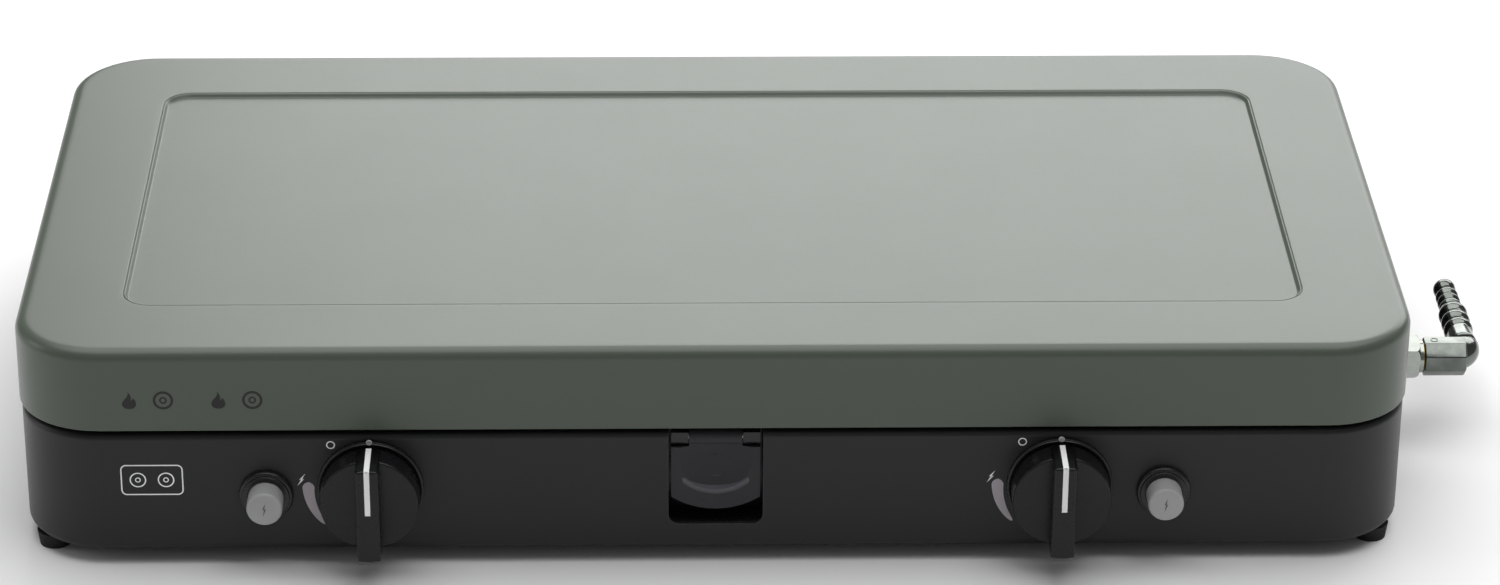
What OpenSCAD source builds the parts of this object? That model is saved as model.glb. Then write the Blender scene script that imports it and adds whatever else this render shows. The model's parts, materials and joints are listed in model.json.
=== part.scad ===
// Two-burner gas camping stove with a hinged pressed-steel lid.
// Millimetres. +Z is up, the control panel faces -Y, and the stove stands on z = 0.

/* [Base] */
// Width of the base, left to right
base_w = 538.5; // [450:0.5:650]
// Depth of the base, front to back
base_d = 278.5; // [240:0.5:340]
// Height of the base without its feet
base_h = 51; // [48:0.5:65]
// Corner radius of the base in plan
corner_r = 33.25; // [28:0.25:45]
// Sheet thickness of the base
base_sheet = 1.2; // [0.8:0.1:2]
// Radius of the pressed bottom edge
bottom_r = 3.5; // [2.5:0.5:5]
// Radius of the rolled top shoulder
shoulder_r = 2.5; // [2:0.25:4]
// Width of the inturned rim on top of the base
rim_w = 14; // [13:0.5:17]

/* [Feet] */
// Height of a rubber foot
foot_h = 6; // [5:0.5:12]
// Diameter of a rubber foot where it meets the base
foot_top_d = 14; // [12:0.5:20]
// Diameter of a rubber foot on the ground
foot_low_d = 12.4; // [11:0.2:18]
// Distance of a foot's centre from the base's side walls
foot_inset_x = 11.25; // [10:0.25:40]
// Distance of a foot's centre from the base's front and rear walls
foot_inset_y = 19; // [12:0.5:50]

/* [Lid] */
// Height of the lid
lid_h = 34; // [32:0.5:50]
// Sheet thickness of the lid
lid_sheet = 1; // [0.8:0.1:1.5]
// How far the lid stands out past the base
lid_over = 0.75; // [0.5:0.05:2]
// Gap between the base's shoulder and the lid's lower edge
seam_gap = 2; // [1.5:0.25:4]
// Radius of the lid's upper edge
lid_edge_r = 4.5; // [3:0.5:8]
// Width of the hem turned in along the lid's lower edge
hem_w = 6; // [5.5:0.25:7]
// Plain border round the recessed panel
panel_margin = 40; // [30:1:60]
// Depth of the recessed panel
panel_depth = 1.5; // [1:0.25:4]
// Width of the slope round the recessed panel
panel_slope = 2; // [1.5:0.25:5]
// Corner radius of the recessed panel
panel_r = 11.5; // [8:0.5:20]

/* [Controls] */
// Distance of each burner control from the middle of the stove
control_x = 133; // [110:1:150]
// Height of the knob axis above the base's underside
control_z = 27.7; // [24:0.1:29]
// Knob skirt diameter
knob_d = 38; // [30:0.5:39]
// Distance of the knob's disc from the panel
knob_disc_a = 14; // [12:0.5:18]
// Distance of the grip's face from the panel
knob_face_a = 24; // [20:0.5:30]
// Width of the grip bar
grip_w = 9; // [7:0.5:12]
// Length of the grip bar
grip_l = 39.8; // [32:0.2:41]
// Travel of the knob when it is pushed in
knob_travel = 2.5; // [1.5:0.25:3]
// Gap between the knob's skirt and the ring behind it
bezel_gap = 0.5; // [0.4:0.1:1]
// Height of the ring behind the knob
bezel_h = 2; // [1.5:0.25:3]
// Diameter of the index dot above the knob
dot_d = 2.8; // [2:0.2:3]
// Valve spindle diameter
stem_d = 6; // [5:0.5:8]

/* [Igniters] */
// Distance of each igniter button from the middle of the stove
igniter_x = 173.3; // [165:0.1:190]
// Height of the igniter axis above the base's underside
igniter_z = 25; // [20:0.5:32]
// Button diameter
button_d = 13.8; // [11:0.2:15]
// How far the button stands out of the panel
button_a = 12.7; // [9:0.1:14]
// Travel of the button
button_travel = 5; // [3:0.5:6]
// Width of the collar round the igniter's sleeve
collar_rim = 2.5; // [2:0.1:3.5]
// Height of the collar
collar_h = 3.5; // [2.5:0.5:5]

/* [Burners] */
// Distance of the burners behind the middle of the base
burner_y = 8; // [0:1:20]
// Burner cap diameter
cap_d = 64; // [56:1:80]
// Burner base diameter below the hob plate
cup_d = 60; // [50:1:70]
// Mixing tube outer diameter
mix_d = 14; // [12:0.5:16]
// Pan support ring diameter, to the middle of the wire
support_d = 176; // [150:1:186]
// Pan support wire diameter
support_wire = 5; // [4:0.5:6]
// Number of flame slots in a burner cap
flame_slots = 24; // [12:2:30]

/* [Hob plate] */
// Sheet thickness of the hob plate
hob_sheet = 0.8; // [0.6:0.1:1.2]
// Distance of the hob plate's edge from the base's walls
hob_inset = 9; // [8.5:0.5:10]
// Width of the hob plate's flat rim
hob_rim = 9; // [8:0.5:14]
// Depth of the well in the hob plate
well_depth = 6; // [4:0.5:7]
// Width of the slope into the well
well_slope = 6; // [4:0.5:10]

/* [Gas line] */
// Outer diameter of the gas rail
rail_d = 8; // [6:0.5:8]
// Distance of the gas inlet in front of the middle of the base
inlet_y = 32; // [10:1:60]
// Height of the gas inlet above the base's underside
inlet_z = 27; // [20:0.5:32]
// Size across flats of the inlet nut
nut_af = 16; // [15:0.5:18]
// Length of the inlet nut's hexagon
nut_l = 18.8; // [14:0.2:18.8]
// Size across flats of the elbow
elbow_af = 14.8; // [14:0.2:16]
// Length of the elbow's octagonal body
elbow_l = 17.4; // [14:0.2:20]
// Diameter of the hose barb's large crests
barb_big_d = 12; // [10:0.2:12.6]
// Diameter of the hose barb's small crests
barb_small_d = 9.5; // [8:0.1:10.5]
// Distance of the hose tail's axis from the base's side
tail_x = 38.75; // [37:0.25:45]
// Distance of the hose barb's tip from the elbow's axis
barb_reach = 65; // [56:0.5:75]

/* [Latch] */
// Width of the latch opening
latch_w = 36.5; // [30:0.5:46]
// Height of the latch opening's lower edge above the base's underside
latch_low = 11; // [8:0.5:14]
// Corner radius of the latch opening
latch_r = 4; // [2:0.5:6]
// Gap between the flap and each side of its opening
flap_gap = 1.1; // [0.6:0.1:2]
// Width of each block beside the flap's neck
block_w = 6.9; // [5:0.1:8]
// Depth of the latch pocket
pocket_depth = 15; // [14:0.5:20]
// Latch pin diameter
latch_pin_d = 2.5; // [2:0.1:3]

/* [Hinges] */
// Distance of each hinge from the middle of the stove
hinge_x = 160; // [110:1:200]
// Length of a hinge barrel
hinge_l = 40; // [30:1:60]
// Hinge pin diameter
hinge_pin_d = 4; // [3:0.2:5]
// Wall of a hinge barrel round its pin
barrel_wall = 1.5; // [1:0.1:2]
// Gap between the lid's rear face and the hinge barrel
hinge_gap = 1; // [0.8:0.1:2]
// Thickness of the hinge leaves
leaf_t = 1.5; // [1:0.1:2]

/* [Hidden] */
$fn = 64;
// running clearance on a radius
run = 0.05;
// clearance of a close fit that stays still, on a radius
snug = 0.02;
// free gap between pieces that pass each other
gap = 0.3;
// clearance of a drilled hole round its screw, on a radius
hole_fit = 0.1;
// how far the inlet nut is turned from corner-up, in degrees
nut_turn = 10;
// overlap used to join bodies in one piece
lap = 0.5;
// how far a cut runs past the surface it opens
past = 1;
// how much a ball is larger than the bars it joins
joint_swell = 0.06;
wall_y = -base_d / 2;
rear_y = base_d / 2;
side_x = base_w / 2;
low_z = foot_h;
top_z = foot_h + base_h;
seam_z = top_z + seam_gap;
lid_z = seam_z + lid_h;
lid_w = base_w + 2 * lid_over;
lid_d = base_d + 2 * lid_over;
lid_r = corner_r + lid_over;
knob_z = low_z + control_z;
press_z = low_z + igniter_z;
gas_z = low_z + inlet_z;
stem_hole_d = stem_d + 6;
knob_rear_a = knob_travel + 0.9;
grip_rear_a = bezel_h + knob_travel + 0.5;
bezel_wall = 1;
bezel_floor = 0.5;
bezel_d = knob_d + 2 * (bezel_gap + bezel_wall);
dot_r = knob_d / 2 + gap + dot_d / 2;
sleeve_d = button_d + 2.2;
sleeve_bore = button_d + 2 * gap;
collar_d = sleeve_d + 2 * collar_rim;
panel_nut_d = sleeve_d + 10;
sleeve_l = 44;
seat_a = -20;
button_rear_a = -8;
valve_front_a = -2;
valve_back_a = -34;
washer_d = stem_d + 5;
valve_d = washer_d + 7;
washer_t = 1;
washer_a = -4;
spring_back_a = -12;
rail_z = min(knob_z - valve_d / 2 - 2.5, press_z - sleeve_d / 2 - 0.8) - rail_d / 2;
rail_a = -24;
well_z = top_z - well_depth;
cap_z = well_z + 11;
cap_h = 12;
support_z = well_z + hob_sheet + support_wire / 2;
support_top = cap_z + cap_h + 8;
mix_elbow_r = 10;
pin_a = -4;
pin_z = top_z - 3.5;
flap_r = pin_z - (low_z + latch_low + 6.2);
flap_w = latch_w - 2 * flap_gap;
neck_w = flap_w - 2 * block_w;
neck_r = latch_pin_d / 2 + 1.95;
striker_t = 1.2;
arm_w = 10.5;
arm_side = 3.5;
coil_wire = 0.7;
coil_r = latch_pin_d / 2 + coil_wire / 2 + gap;
coil_x = 4.5;
coil_l = 5;
barrel_d = hinge_pin_d + 2 * barrel_wall;
hinge_y = rear_y + lid_over + hinge_gap + barrel_d / 2;
hinge_z = seam_z;
barb_x = side_x + tail_x;
reach_right = barb_x + barb_big_d / 2;
// the whole stove is centred on the origin in plan, over the extents of its fittings
shift_x = (lid_w / 2 - reach_right) / 2;
shift_y = (-(wall_y - knob_face_a) - (hinge_y + barrel_d / 2)) / 2;
lead_d = 3;
cup_flange_d = cup_d + 10;
electrode_x = max(cup_flange_d, cap_d) / 2 + 5;
hob_screw_inset = 11.5;
hob_screw_x = side_x - corner_r - 10;
hob_screw_mid = 70;
hob_screw_d = 2.5;
foot_screw_d = 4;
foot_head_d = 6.8;
rivet_pitch = 24;
rivet_d = 3.1;
rivet_low = 14;
rivet_high = 12;
leaf_h = 22;
inlet_d = 12;
inlet_bore = 6;
tail_bore = 5;
pocket_t = 1.5;

// ---- helpers ----

// moves a piece from the base's own centre to the stove's origin
module place() {
    translate([shift_x, shift_y, 0]) children();
}

// local +Z points out of the front panel, local +Y points up
module on_panel(x, z) {
    translate([x, wall_y, z]) rotate([90, 0, 0]) children();
}

// local +Z points out of the right-hand wall, local +Y stays along the wall
module on_side(y, z) {
    translate([side_x, y, z]) rotate([0, 90, 0]) children();
}

module rounded_rect(w, d, r) {
    union() {
        square([w - 2 * r, d], center = true);
        square([w, d - 2 * r], center = true);
        for (x = [-1, 1], y = [-1, 1]) {
            translate([x * (w / 2 - r), y * (d / 2 - r)]) circle(r);
        }
    }
}

module slab(w, d, r, z, t) {
    translate([0, 0, z]) linear_extrude(t) rounded_rect(w, d, r);
}

// a section whose outer side, at x1, has round corners
module edge_section(x0, z0, x1, z1, r_low, r_high) {
    union() {
        polygon([
            [x0, z0],
            [x1 - r_low, z0],
            [x1, z0 + r_low],
            [x1, z1 - r_high],
            [x1 - r_high, z1],
            [x0, z1]
        ]);
        if (r_low > 0) translate([x1 - r_low, z0 + r_low]) circle(r_low);
        if (r_high > 0) translate([x1 - r_high, z1 - r_high]) circle(r_high);
    }
}

// sweeps a section round a rounded rectangle; the section's x is measured from the corner's centre
module ring_sweep(w, d, r) {
    cx = w / 2 - r;
    cy = d / 2 - r;
    union() {
        for (k = [0:3]) {
            sx = (k == 0 || k == 3) ? 1 : -1;
            sy = (k < 2) ? 1 : -1;
            translate([sx * cx, sy * cy, 0]) rotate([0, 0, 90 * k]) rotate_extrude(angle = 90) children();
            run_l = (k % 2 == 0) ? 2 * cy : 2 * cx;
            translate([cx * [1, 0, -1, 0][k], cy * [0, 1, 0, -1][k], 0])
                rotate([90, 0, 90 * k])
                    translate([0, 0, -run_l / 2])
                        linear_extrude(run_l) children();
        }
    }
}

// a round rod or tube's outside through a list of points
module rod(points, d) {
    union() {
        for (i = [0:len(points) - 2]) {
            v = points[i + 1] - points[i];
            l = norm(v);
            translate(points[i])
                rotate([0, acos(v[2] / l), atan2(v[1], v[0])])
                    cylinder(h = l, d = d);
        }
        for (i = [1:1:len(points) - 2]) {
            translate(points[i]) sphere(d = d + joint_swell);
        }
    }
}

// cuts the corners of a route, keeping its ends
function smooth(p) = concat([p[0]], [for (i = [0:len(p) - 2]) each
    [p[i] * 0.75 + p[i + 1] * 0.25, p[i] * 0.25 + p[i + 1] * 0.75]], [p[len(p) - 1]]);

function unit(v) = v / norm(v);

// a soft lead along a route that never runs along X
module lead(points, d) {
    sides = 8;
    p = smooth(smooth(points));
    n = len(p) - 1;
    walls = [for (i = [0:n - 1], j = [0:sides - 1])
        let (a = i * sides + j, b = i * sides + (j + 1) % sides)
        [a, b, b + sides, a + sides]];
    polyhedron([for (i = [0:n]) let (
            t = unit(p[min(i + 1, n)] - p[max(i - 1, 0)]),
            u = d / 2 * unit(cross(t, [1, 0, 0])),
            v = cross(t, u)
        ) each [for (j = [0:sides - 1]) p[i] + cos(360 * j / sides) * u + sin(360 * j / sides) * v]],
        concat([[for (j = [sides - 1:-1:0]) j]], walls, [[for (j = [0:sides - 1]) n * sides + j]]),
        convexity = 8);
}

// a helical spring along +Z from z = 0
module coil(mean_r, wire, length, turns) {
    seg = 14;
    sides = 6;
    n = seg * turns;
    rings = [for (i = [0:n]) [for (j = [0:sides - 1])
        let (a = 360 * i / seg, b = 360 * j / sides, rr = mean_r + wire / 2 * cos(b))
        [rr * cos(a), rr * sin(a), wire / 2 + (length - wire) * i / n + wire / 2 * sin(b)]]];
    points = [for (r = rings) for (p = r) p];
    walls = [for (i = [0:n - 1], j = [0:sides - 1])
        let (a = i * sides + j, b = i * sides + (j + 1) % sides)
        [b, a, a + sides, b + sides]];
    first = [[for (j = [0:sides - 1]) j]];
    last = [[for (j = [sides - 1:-1:0]) n * sides + j]];
    polyhedron(points, concat(first, walls, last), convexity = 8);
}

module each_foot() {
    for (x = [-1, 1], y = [-1, 1]) {
        translate([x * (side_x - foot_inset_x), y * (rear_y - foot_inset_y), 0]) children();
    }
}

module each_hob_screw() {
    for (x = [-hob_screw_x, -hob_screw_mid, hob_screw_mid, hob_screw_x], y = [-1, 1]) {
        translate([x, y * (rear_y - hob_screw_inset), 0]) children();
    }
}

// ---- base ----

module base_tray() {
    color([0.14, 0.14, 0.145]) place() difference() {
        union() {
            ring_sweep(base_w, base_d, corner_r) difference() {
                edge_section(corner_r - rim_w, low_z, corner_r, top_z, bottom_r, shoulder_r);
                edge_section(corner_r - rim_w - 1, low_z + base_sheet, corner_r - base_sheet,
                    top_z - base_sheet, bottom_r - base_sheet, shoulder_r - base_sheet);
            }
            slab(base_w - 2 * rim_w + 2 * lap, base_d - 2 * rim_w + 2 * lap, corner_r - rim_w + lap,
                low_z, base_sheet);
        }
        for (s = [-1, 1]) {
            on_panel(s * control_x, knob_z) translate([0, 0, -5]) cylinder(h = 10, d = stem_hole_d);
            on_panel(s * igniter_x, press_z) translate([0, 0, -5]) cylinder(h = 10, d = sleeve_d + 2 * gap);
            // air slots below each burner
            for (k = [-3:3]) {
                translate([s * control_x + 14 * k, burner_y, low_z - 1]) linear_extrude(4)
                    rounded_rect(5, 60, 2.4);
            }
        }
        latch_opening(latch_w, 10, low_z + latch_low);
        // the hook passes through the rim
        translate([-latch_w / 2, wall_y - 1, top_z - 4]) cube([latch_w, 18, 8]);
        on_side(-inlet_y, gas_z) translate([0, 0, -5]) cylinder(h = 10, d = inlet_d + 4 * hole_fit);
        each_foot() translate([0, 0, low_z - past]) cylinder(h = 4, d = foot_screw_d + 2 * hole_fit);
        each_hob_screw() translate([0, 0, top_z - 4]) cylinder(h = 6, d = hob_screw_d + 2 * run);
        for (s = [-1, 1], k = [-1, 1]) {
            translate([s * hinge_x + k * rivet_pitch / 2, rear_y, hinge_z - rivet_low]) rotate([90, 0, 0])
                translate([0, 0, -5]) cylinder(h = 10, d = rivet_d + 2 * run);
        }
    }
}

// the latch opening in the front wall, open at the top
module latch_opening(w, depth, z) {
    translate([0, wall_y + depth / 2, 0]) rotate([90, 0, 0]) linear_extrude(depth) union() {
        translate([-w / 2, z + latch_r]) square([w, top_z + 5 - z - latch_r]);
        translate([-w / 2 + latch_r, z]) square([w - 2 * latch_r, 2 * latch_r]);
        for (s = [-1, 1]) translate([s * (w / 2 - latch_r), z + latch_r]) circle(latch_r);
    }
}

module hob_plate() {
    r = corner_r - hob_inset;
    in_r = r - hob_rim - well_slope;
    color([0.09, 0.09, 0.095]) place() difference() {
        union() {
            ring_sweep(base_w - 2 * hob_inset, base_d - 2 * hob_inset, r) polygon([
                [r, top_z],
                [r, top_z + hob_sheet],
                [r - hob_rim, top_z + hob_sheet],
                [in_r, well_z + hob_sheet],
                [in_r - lap, well_z + hob_sheet],
                [in_r - lap, well_z],
                [in_r, well_z],
                [r - hob_rim, top_z]
            ]);
            slab(base_w - 2 * (corner_r - in_r), base_d - 2 * (corner_r - in_r), in_r, well_z, hob_sheet);
        }
        for (s = [-1, 1]) {
            translate([s * control_x, burner_y, well_z - 2]) cylinder(h = 6, d = cup_d + 2);
            translate([s * (control_x + electrode_x), burner_y, well_z - 2]) cylinder(h = 6, d = 6);
        }
        translate([-latch_w / 2, wall_y - 1, top_z - 4]) cube([latch_w, 18, 8]);
        each_hob_screw() translate([0, 0, top_z - 4]) cylinder(h = 8, d = hob_screw_d + 8 * hole_fit);
    }
}

module hob_screws() {
    color("silver") place() each_hob_screw() {
        translate([0, 0, top_z + hob_sheet]) intersection() {
            cylinder(h = 1.1, d = 5.6);
            translate([0, 0, -3.5]) sphere(d = 9);
        }
        translate([0, 0, top_z - 5]) cylinder(h = 5 + hob_sheet, d = hob_screw_d);
    }
}

module lid_bumpers() {
    color([0.05, 0.05, 0.05]) place() for (x = [-1, 1], y = [-1, 1]) {
        translate([x * (side_x - corner_r - 6), y * (rear_y - 4.4), top_z]) intersection() {
            cylinder(h = seam_gap - gap, d = 3.6);
            translate([0, 0, -1]) sphere(d = 5.4);
        }
    }
}

// ---- feet ----

module foot(x, y) {
    color([0.06, 0.06, 0.06]) place()
        translate([x * (side_x - foot_inset_x), y * (rear_y - foot_inset_y), 0]) difference() {
            cylinder(h = foot_h, d1 = foot_low_d, d2 = foot_top_d);
            translate([0, 0, -past]) cylinder(h = 3 + past, d = foot_head_d + 4 * hole_fit);
            translate([0, 0, -past]) cylinder(h = foot_h + 2 * past, d = foot_screw_d + 2 * hole_fit);
        }
}

module foot_screws() {
    color("silver") place() each_foot() {
        translate([0, 0, 0.9]) cylinder(h = 2.1, d = foot_head_d);
        translate([0, 0, 2.5]) cylinder(h = foot_h + base_sheet + 1.5, d = foot_screw_d);
    }
}

// ---- lid ----

module lid() {
    bottom_z = lid_z - panel_depth - lid_sheet;
    fold = lid_r - 20;
    pw = lid_w - 2 * panel_margin;
    pd = lid_d - 2 * panel_margin;
    steps = 8;
    ramp = [for (i = [0:steps]) [panel_r - panel_slope * i / steps,
        lid_z - panel_depth * (1 - cos(180 * i / steps)) / 2]];
    color([0.40, 0.43, 0.39]) place() difference() {
        union() {
            ring_sweep(lid_w, lid_d, lid_r) difference() {
                edge_section(fold, seam_z, lid_r, lid_z, 0.6, lid_edge_r);
                edge_section(fold - 1, seam_z + lid_sheet, lid_r - lid_sheet, lid_z - lid_sheet,
                    0, lid_edge_r - lid_sheet);
                translate([fold - 1, seam_z - 1]) square([lid_r - hem_w - fold + 1, 2 + lid_sheet]);
            }
            difference() {
                slab(lid_w - 40 + 2 * lap, lid_d - 40 + 2 * lap, fold + lap, lid_z - lid_sheet, lid_sheet);
                slab(pw, pd, panel_r, lid_z - 4, 8);
            }
            ring_sweep(pw, pd, panel_r) polygon(concat(
                [[panel_r + lap, lid_z]],
                ramp,
                [[panel_r - panel_slope - lap, lid_z - panel_depth]],
                [[panel_r - panel_slope - lap, bottom_z]],
                [for (i = [steps:-1:0]) ramp[i] - [0, lid_sheet]],
                [[panel_r + lap, lid_z - lid_sheet]]
            ));
            slab(pw - 2 * panel_slope, pd - 2 * panel_slope, panel_r - panel_slope, bottom_z, lid_sheet);
        }
        for (s = [-1, 1], k = [-1, 1]) {
            translate([s * hinge_x + k * rivet_pitch / 2, rear_y, hinge_z + rivet_high]) rotate([90, 0, 0])
                translate([0, 0, -5]) cylinder(h = 10, d = rivet_d + 2 * run);
        }
    }
}

// the plate that the hook holds, spot-welded inside the lid's front wall
module lid_striker() {
    w = 24;
    inner_y = wall_y - lid_over + lid_sheet;
    color("silver") place() union() {
        translate([-w / 2, inner_y, seam_z + lid_sheet]) cube([w, striker_t, 14]);
        translate([-w / 2, inner_y, seam_z + lid_sheet]) cube([w, hem_w - lid_sheet, striker_t]);
    }
}

// ---- hinges ----

// a rolled knuckle; its bore is cut later
module barrel(x0, x1) {
    translate([x0, hinge_y, hinge_z]) rotate([0, 90, 0]) cylinder(h = x1 - x0, d = barrel_d);
}

module hinge_bore(d) {
    translate([-hinge_l, hinge_y, hinge_z]) rotate([0, 90, 0]) cylinder(h = 2 * hinge_l, d = d);
}

// fixed half, riveted to the base's rear wall, with two outer knuckles
module hinge_leaf(side) {
    q = hinge_l / 4;
    color([0.15, 0.15, 0.155]) place() translate([side * hinge_x, 0, 0]) difference() {
        union() {
            translate([-hinge_l / 2, rear_y, hinge_z - leaf_h])
                cube([hinge_l, leaf_t, leaf_h - barrel_d / 2 - 0.4]);
            for (s = [-1, 1]) {
                x0 = (s < 0) ? -hinge_l / 2 : q;
                barrel(x0, x0 + q);
                translate([x0, rear_y, hinge_z - barrel_d / 2 - leaf_t])
                    cube([q, hinge_y - rear_y, leaf_t + 1]);
            }
        }
        hinge_bore(hinge_pin_d + 2 * snug);
        for (k = [-1, 1]) translate([k * rivet_pitch / 2, rear_y - 5, hinge_z - rivet_low])
            rotate([-90, 0, 0]) cylinder(h = 10, d = rivet_d + 2 * run);
    }
}

// moving half, riveted to the lid's rear wall, with the middle knuckle
module lid_leaf(side) {
    q = hinge_l / 4 - gap;
    y0 = rear_y + lid_over;
    color([0.15, 0.15, 0.155]) place() translate([side * hinge_x, 0, 0]) difference() {
        union() {
            translate([-hinge_l / 2, y0, hinge_z + barrel_d / 2 + 0.6])
                cube([hinge_l, leaf_t, leaf_h - barrel_d / 2 - 0.6]);
            barrel(-q, q);
            translate([-q, y0, hinge_z + barrel_d / 2 - 1]) cube([2 * q, hinge_y - y0, leaf_t + 1]);
        }
        hinge_bore(hinge_pin_d + 2 * run);
        for (k = [-1, 1]) translate([k * rivet_pitch / 2, rear_y - 5, hinge_z + rivet_high])
            rotate([-90, 0, 0]) cylinder(h = 10, d = rivet_d + 2 * run);
    }
}

module hinge_pins() {
    color("silver") place() for (s = [-1, 1]) {
        translate([s * hinge_x - hinge_l / 2 - 1, hinge_y, hinge_z]) rotate([0, 90, 0]) {
            cylinder(h = hinge_l + 2, d = hinge_pin_d);
            translate([0, 0, -1]) cylinder(h = 1.4, d = hinge_pin_d + 1.6);
        }
    }
}

// rivets through a wall of the given thickness and a leaf, with a domed head outside
module rivet_row(y_in, grip, z) {
    for (s = [-1, 1], k = [-1, 1]) {
        translate([s * hinge_x + k * rivet_pitch / 2, y_in, z]) rotate([-90, 0, 0]) {
            translate([0, 0, -1]) cylinder(h = 1, d = 5);
            cylinder(h = grip, d = rivet_d);
            translate([0, 0, grip]) intersection() {
                cylinder(h = 1.4, d = 6);
                translate([0, 0, -2.6]) sphere(d = 8);
            }
        }
    }
}

module hinge_rivets() {
    color("silver") place() rivet_row(rear_y - base_sheet, base_sheet + leaf_t, hinge_z - rivet_low);
}

module lid_rivets() {
    color("silver") place()
        rivet_row(rear_y + lid_over - lid_sheet, lid_sheet + leaf_t, hinge_z + rivet_high);
}

// ---- knobs and valves ----

module knob(side) {
    tip = 1.2;
    color([0.11, 0.11, 0.115]) place() on_panel(side * control_x, knob_z) difference() {
        union() {
            rotate_extrude() difference() {
                edge_section(0, knob_rear_a, knob_d / 2, knob_disc_a, 0.4, 0.9);
                translate([stem_d / 2 + 3.5, knob_rear_a - 1]) square([knob_d / 2 - stem_d / 2 - 6, 7]);
            }
            // grip bar with rounded ends in plan
            intersection() {
                translate([-grip_w / 2, -grip_l / 2, grip_rear_a])
                    cube([grip_w, grip_l, knob_face_a - grip_rear_a]);
                rotate_extrude() edge_section(0, grip_rear_a, grip_l / 2, knob_face_a, 0, tip);
            }
        }
        // round socket with a flat for the spindle
        translate([0, 0, knob_rear_a - 1]) difference() {
            cylinder(h = 10.6, d = stem_d + 2 * snug);
            translate([-stem_d, stem_d / 2 - 1.5 + snug, -1]) cube([2 * stem_d, stem_d, 20]);
        }
    }
}

module knob_bezel(side) {
    color([0.12, 0.12, 0.125]) place() on_panel(side * control_x, knob_z) union() {
        rotate_extrude() union() {
            translate([stem_hole_d / 2 - 2, 0])
                square([bezel_d / 2 - stem_hole_d / 2 + 1.2, bezel_floor]);
            edge_section(bezel_d / 2 - bezel_wall, 0, bezel_d / 2, bezel_h, 0, 0.5);
        }
        // index dot at twelve o'clock
        translate([0, dot_r, 0]) cylinder(h = grip_rear_a - knob_travel - gap, d = dot_d);
    }
}

module valve_body(side) {
    color([0.72, 0.60, 0.32]) place() on_panel(side * control_x, knob_z) difference() {
        union() {
            translate([0, 0, valve_back_a]) cylinder(h = valve_front_a - valve_back_a, d = valve_d);
            // saddle over the gas rail
            translate([-8, rail_z - knob_z - 6.5, rail_a - 7]) cube([16, knob_z - rail_z + 6.5, 14]);
        }
        translate([0, 0, valve_back_a - 1]) cylinder(h = 60, d = stem_d - 2);
        translate([0, 0, valve_back_a + 6]) cylinder(h = 60, d = stem_d + 2 * run);
        translate([0, 0, spring_back_a]) cylinder(h = 20, d = washer_d + 2 * gap);
        translate([-20, rail_z - knob_z, rail_a]) rotate([0, 90, 0]) cylinder(h = 40, d = rail_d + 2 * snug);
        // gas way from the rail to the plug
        translate([0, rail_z - knob_z, rail_a]) rotate([-90, 0, 0]) cylinder(h = 14, d = 2);
    }
}

module valve_stem(side) {
    tip_a = knob_rear_a + 9;
    color("gold") place() on_panel(side * control_x, knob_z) difference() {
        translate([0, 0, valve_back_a + 6 + knob_travel + 1])
            cylinder(h = tip_a - valve_back_a - 7 - knob_travel, d = stem_d);
        // flat for the knob
        translate([-stem_d, stem_d / 2 - 1.5, 1]) cube([2 * stem_d, stem_d, 30]);
        // bleed hole through the plug
        translate([0, stem_d, rail_a]) rotate([90, 0, 0]) cylinder(h = 2 * stem_d, d = 2);
    }
}

module stem_washer(side) {
    color("silver") place() on_panel(side * control_x, knob_z) translate([0, 0, washer_a - washer_t])
        difference() {
            cylinder(h = washer_t, d = washer_d);
            translate([0, 0, -1]) cylinder(h = washer_t + 2, d = stem_d + 2 * run);
        }
}

module valve_spring(side) {
    room = washer_a - washer_t - spring_back_a;
    color("silver") place() on_panel(side * control_x, knob_z)
        translate([0, 0, spring_back_a + 0.1]) coil(stem_d / 2 + 1.2, 0.8, room - 0.2, 4);
}

module gas_jet(side) {
    color([0.80, 0.68, 0.36]) place() on_panel(side * control_x, knob_z) difference() {
        union() {
            translate([0, 0, valve_back_a - 5]) cylinder(h = 5, d = 9.2, $fn = 6);
            translate([0, 0, valve_back_a - 10]) cylinder(h = 5.5, d1 = 4, d2 = 6);
        }
        translate([0, 0, valve_back_a - 11]) cylinder(h = 20, d = 0.9);
        translate([0, 0, valve_back_a - 7]) cylinder(h = 20, d = 3);
    }
}

module mixing_tube(side) {
    bend_y = burner_y - mix_elbow_r;
    mouth_y = wall_y - valve_back_a + 6;
    color([0.62, 0.62, 0.60]) place() translate([side * control_x, 0, 0]) difference() {
        union() {
            translate([0, mouth_y + 8, knob_z]) rotate([-90, 0, 0])
                cylinder(h = bend_y - mouth_y - 8, d = mix_d);
            translate([0, mouth_y, knob_z]) rotate([-90, 0, 0]) cylinder(h = 8, d1 = mix_d + 6, d2 = mix_d);
            mix_bend(mix_d, bend_y);
            translate([0, burner_y, knob_z + mix_elbow_r]) cylinder(h = 6, d = mix_d);
        }
        translate([0, mouth_y - 1, knob_z]) rotate([-90, 0, 0])
            cylinder(h = bend_y - mouth_y + 1, d = mix_d - 2);
        translate([0, mouth_y - 0.01, knob_z]) rotate([-90, 0, 0])
            cylinder(h = 8, d1 = mix_d + 4, d2 = mix_d - 2);
        mix_bend(mix_d - 2, bend_y);
        translate([0, burner_y, knob_z + mix_elbow_r]) cylinder(h = 8, d = mix_d - 2);
    }
}

// quarter bend from running backwards to running upwards
module mix_bend(d, y) {
    translate([0, y, knob_z + mix_elbow_r]) rotate([0, -90, 0])
        rotate_extrude(angle = 90, start = 90) translate([mix_elbow_r, 0]) circle(d = d);
}

// ---- burners ----

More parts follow.
